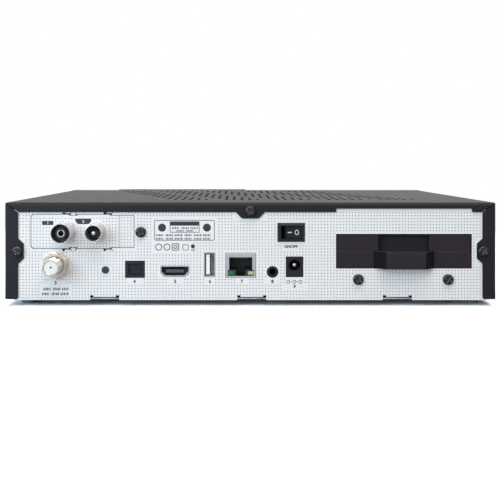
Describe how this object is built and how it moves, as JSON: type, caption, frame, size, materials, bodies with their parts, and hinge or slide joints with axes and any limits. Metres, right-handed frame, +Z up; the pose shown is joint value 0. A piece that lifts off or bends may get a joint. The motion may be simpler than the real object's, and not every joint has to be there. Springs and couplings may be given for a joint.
{
  "type": "satellite tv receiver",
  "caption": "Flat set-top satellite receiver in a folded steel case with a socket panel, a power rocker, a pull-out drive tray and a drop-down front flap.",
  "frame": {"origin": "middle of the footprint, on the surface that the feet stand on", "axes": "+X to the right as the rear panel is faced, +Y towards the front, +Z up"},
  "size_m": [0.27, 0.2128, 0.0578],
  "materials": {
    "cover_paint": "satin",
    "panel_paint": "satin",
    "zinc_steel": "satin",
    "screw_steel": "polished",
    "bright_nickel": "polished",
    "warm_nickel": "satin",
    "gold_contact": "polished",
    "bezel_black": "gloss",
    "black_plastic": "matte",
    "tray_black": "satin",
    "smoked_window": "gloss",
    "button_grey": "satin",
    "foot_rubber": "matte",
    "board_green": "satin",
    "chip_black": "matte",
    "white_dielectric": "satin",
    "light_green": "gloss",
    "capacitor_sleeve": "gloss",
    "bare_aluminium": "satin",
    "plug_grey": "matte"
  },
  "bodies": {
    "chassis": {"top_cover": "cover_paint", "rear_panel": "panel_paint", "base_pan": "zinc_steel", "feet": "foot_rubber", "cover_screws": "screw_steel", "panel_screws": "screw_steel", "front_bezel": "bezel_black", "display_window": "smoked_window", "front_board": "board_green", "board_connector": "white_dielectric", "main_board": "board_green", "board_standoffs": "zinc_steel", "board_screws": "screw_steel", "heat_sink": "bare_aluminium", "board_chips": "chip_black", "capacitors": "capacitor_sleeve", "card_reader": "black_plastic", "module_slot": "black_plastic", "f_connector_body": "warm_nickel", "f_connector_washer": "warm_nickel", "f_connector_nut": "warm_nickel", "f_connector_insulator": "white_dielectric", "f_connector_contact": "gold_contact", "satellite_tuner_can": "bright_nickel", "tuner_plate": "panel_paint", "tuner_bracket": "zinc_steel", "tuner_can": "bright_nickel", "tuner_slot": "black_plastic", "antenna_in_shell": "bright_nickel", "antenna_in_insulator": "black_plastic", "antenna_in_contact": "bright_nickel", "loop_out_shell": "bright_nickel", "loop_out_insulator": "black_plastic", "loop_out_pin": "bright_nickel", "hole_plug": "plug_grey", "optical_housing": "black_plastic", "video_socket_shell": "bright_nickel", "video_socket_tongue": "black_plastic", "usb_shell": "bright_nickel", "usb_tongue": "black_plastic", "usb_contacts": "gold_contact", "network_shell": "bright_nickel", "network_insert": "black_plastic", "network_contacts": "gold_contact", "network_lights": "light_green", "remote_jack": "black_plastic", "power_jack_housing": "black_plastic", "power_jack_pin": "bright_nickel", "switch_frame": "black_plastic", "drive_bay": "zinc_steel", "drive_backplane": "board_green", "drive_socket": "black_plastic"},
    "drive_tray": {"tray_front": "tray_black", "tray_sled": "tray_black", "hard_drive": "bare_aluminium", "drive_screws": "screw_steel"},
    "rocker": {"switch_rocker": "black_plastic"},
    "shutter": {"optical_shutter": "black_plastic"},
    "flap": {"front_flap": "bezel_black"},
    "standby": {"standby_button": "button_grey"}
  },
  "joints": [
    {"name": "tray_slide", "type": "slide", "parent": "chassis", "child": "drive_tray", "axis": [0, -1, 0], "range_m": [0, 0.105]},
    {"name": "rocker_tilt", "type": "hinge", "parent": "chassis", "child": "rocker", "pos_m": [0.0225, -0.0886, 0.0408], "axis": [0, 0, -1], "range_deg": [0, 24]},
    {"name": "shutter_swing", "type": "hinge", "parent": "chassis", "child": "shutter", "pos_m": [-0.0635, -0.09215, 0.02295], "axis": [1, 0, 0], "range_deg": [0, 80], "stiffness_Nm_per_rad": 0.00002},
    {"name": "flap_swing", "type": "hinge", "parent": "chassis", "child": "flap", "pos_m": [-0.0501, 0.1041, 0.011], "axis": [-1, 0, 0], "range_deg": [0, 90]},
    {"name": "standby_press", "type": "slide", "parent": "chassis", "child": "standby", "axis": [0, -1, 0], "range_m": [0, 0.0008], "stiffness_N_per_m": 400}
  ]
}
